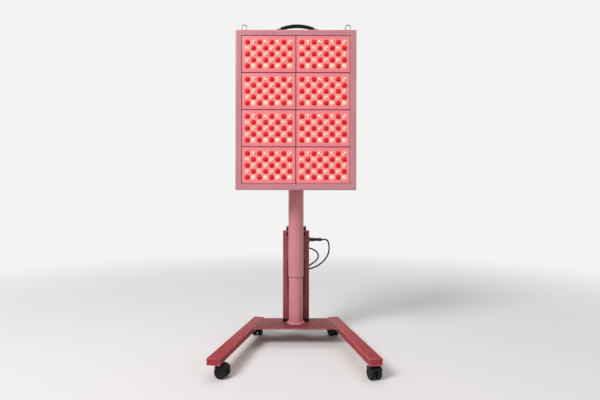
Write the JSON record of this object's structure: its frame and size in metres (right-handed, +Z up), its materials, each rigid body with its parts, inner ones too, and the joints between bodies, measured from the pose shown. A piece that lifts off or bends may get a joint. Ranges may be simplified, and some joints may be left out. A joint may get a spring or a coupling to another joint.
{
  "type": "red light therapy panel on a wheeled stand",
  "caption": "Flat red light therapy panel on a height-adjustable round column, with a wheeled V-shaped base and a power box behind the column.",
  "frame": {"origin": "on the floor, midway between the ends of the two legs", "axes": "+Z up along the column, -Y the way the lit face looks, +X to the right as seen from the front"},
  "size_m": [0.635, 0.5711, 1.422],
  "materials": {
    "powder_coat": "satin",
    "black_coat": "satin",
    "lens_plate": "gloss",
    "black_nylon": "satin",
    "black_rubber": "matte",
    "plated_steel": "satin",
    "bare_aluminium": "satin",
    "dark_coupling": "satin",
    "guide_grey": "matte"
  },
  "bodies": {
    "base": {"base_collar": "powder_coat", "box_back_plate": "black_coat", "box_bracket": "powder_coat", "box_cover": "powder_coat", "box_ear_screw_left": "plated_steel", "box_ear_screw_right": "plated_steel", "box_foot_left": "black_rubber", "box_foot_right": "black_rubber", "cross_plate": "powder_coat", "foot_bolt_left": "plated_steel", "foot_bolt_right": "plated_steel", "foot_plate": "powder_coat", "gas_spring_cylinder": "black_coat", "lead": "black_rubber", "lead_connector": "dark_coupling", "lead_gland": "black_nylon", "lead_socket": "dark_coupling", "leg_left": "powder_coat", "leg_right": "powder_coat", "mains_inlet": "black_nylon", "mast": "powder_coat", "mast_top_bush": "guide_grey", "power_supply": "black_coat"},
    "rocker": {"power_rocker": "black_nylon"},
    "caster_front_left": {"caster_front_left_fork": "black_nylon"},
    "wheels_front_left": {"caster_front_left_wheels": "black_nylon"},
    "caster_front_right": {"caster_front_right_fork": "black_nylon"},
    "wheels_front_right": {"caster_front_right_wheels": "black_nylon"},
    "caster_rear_left": {"caster_rear_left_fork": "black_nylon"},
    "wheels_rear_left": {"caster_rear_left_wheels": "black_nylon"},
    "caster_rear_right": {"caster_rear_right_fork": "black_nylon"},
    "wheels_rear_right": {"caster_rear_right_wheels": "black_nylon"},
    "carriage": {"sleeve": "powder_coat", "lower_guide_bush": "guide_grey", "sleeve_cap": "black_nylon", "gas_spring_rod": "plated_steel", "tilt_yoke": "black_coat", "pivot_bolt": "plated_steel"},
    "lever": {"release_lever": "black_nylon"},
    "knob": {"tilt_knob": "black_nylon"},
    "fan": {"fan_rotor": "black_nylon"},
    "panel": {"front_frame": "powder_coat", "rear_housing": "powder_coat", "led_module_left_1": "lens_plate", "led_module_left_2": "lens_plate", "led_module_left_3": "lens_plate", "led_module_left_4": "lens_plate", "led_module_right_1": "lens_plate", "led_module_right_2": "lens_plate", "led_module_right_3": "lens_plate", "led_module_right_4": "lens_plate", "mount_plate": "black_coat", "fan_frame": "black_nylon", "panel_cable_gland": "black_nylon", "handle_grip": "black_rubber", "eye_bolt_left": "plated_steel", "eye_bolt_right": "plated_steel", "handle_arm_left": "plated_steel", "handle_arm_right": "plated_steel", "heat_sink": "bare_aluminium"}
  },
  "joints": [
    {"name": "height_slide", "type": "slide", "parent": "base", "child": "carriage", "axis": [0, 0, 1], "range_m": [-0.15, 0.25]},
    {"name": "panel_tilt", "type": "hinge", "parent": "carriage", "child": "panel", "pos_m": [0, 0.1185, 1.15], "axis": [-1, 0, 0], "range_deg": [-4, 30]},
    {"name": "tilt_knob_turn", "type": "hinge", "parent": "carriage", "child": "knob", "pos_m": [0, 0.1185, 1.15], "axis": [1, 0, 0], "range_deg": [0, 270]},
    {"name": "release_lever_press", "type": "hinge", "parent": "carriage", "child": "lever", "pos_m": [-0.01, 0.176, 1.1996], "axis": [0, 1, 0], "range_deg": [0, 6], "stiffness_Nm_per_rad": 0.5, "springref_deg": -5.73},
    {"name": "rocker_tip", "type": "hinge", "parent": "base", "child": "rocker", "pos_m": [-0.03, 0.2603, 0.1557], "axis": [1, 0, 0], "range_deg": [0, 14]},
    {"name": "fan_spin", "type": "hinge", "parent": "panel", "child": "fan", "pos_m": [0, 0.0722, 0.92], "axis": [0, 1, 0], "continuous": true},
    {"name": "caster_front_left_swivel", "type": "hinge", "parent": "base", "child": "caster_front_left", "pos_m": [-0.28433, -0.23723, 0.05], "axis": [0, 0, 1], "continuous": true},
    {"name": "wheels_front_left_roll", "type": "hinge", "parent": "caster_front_left", "child": "wheels_front_left", "pos_m": [-0.26579, -0.24472, 0.0235], "axis": [-0.3746, -0.9272, 0], "continuous": true},
    {"name": "caster_front_right_swivel", "type": "hinge", "parent": "base", "child": "caster_front_right", "pos_m": [0.28433, -0.23723, 0.05], "axis": [0, 0, 1], "continuous": true},
    {"name": "wheels_front_right_roll", "type": "hinge", "parent": "caster_front_right", "child": "wheels_front_right", "pos_m": [0.28951, -0.25654, 0.0235], "axis": [-0.9659, -0.2588, 0], "continuous": true},
    {"name": "caster_rear_left_swivel", "type": "hinge", "parent": "base", "child": "caster_rear_left", "pos_m": [-0.18867, 0.23723, 0.05], "axis": [0, 0, 1], "continuous": true},
    {"name": "wheels_rear_left_roll", "type": "hinge", "parent": "caster_rear_left", "child": "wheels_rear_left", "pos_m": [-0.18519, 0.25692, 0.0235], "axis": [0.9848, -0.1736, 0], "continuous": true},
    {"name": "caster_rear_right_swivel", "type": "hinge", "parent": "base", "child": "caster_rear_right", "pos_m": [0.18867, 0.23723, 0.05], "axis": [0, 0, 1], "continuous": true},
    {"name": "wheels_rear_right_roll", "type": "hinge", "parent": "caster_rear_right", "child": "wheels_rear_right", "pos_m": [0.17867, 0.25455, 0.0235], "axis": [0.866, 0.5, 0], "continuous": true}
  ]
}
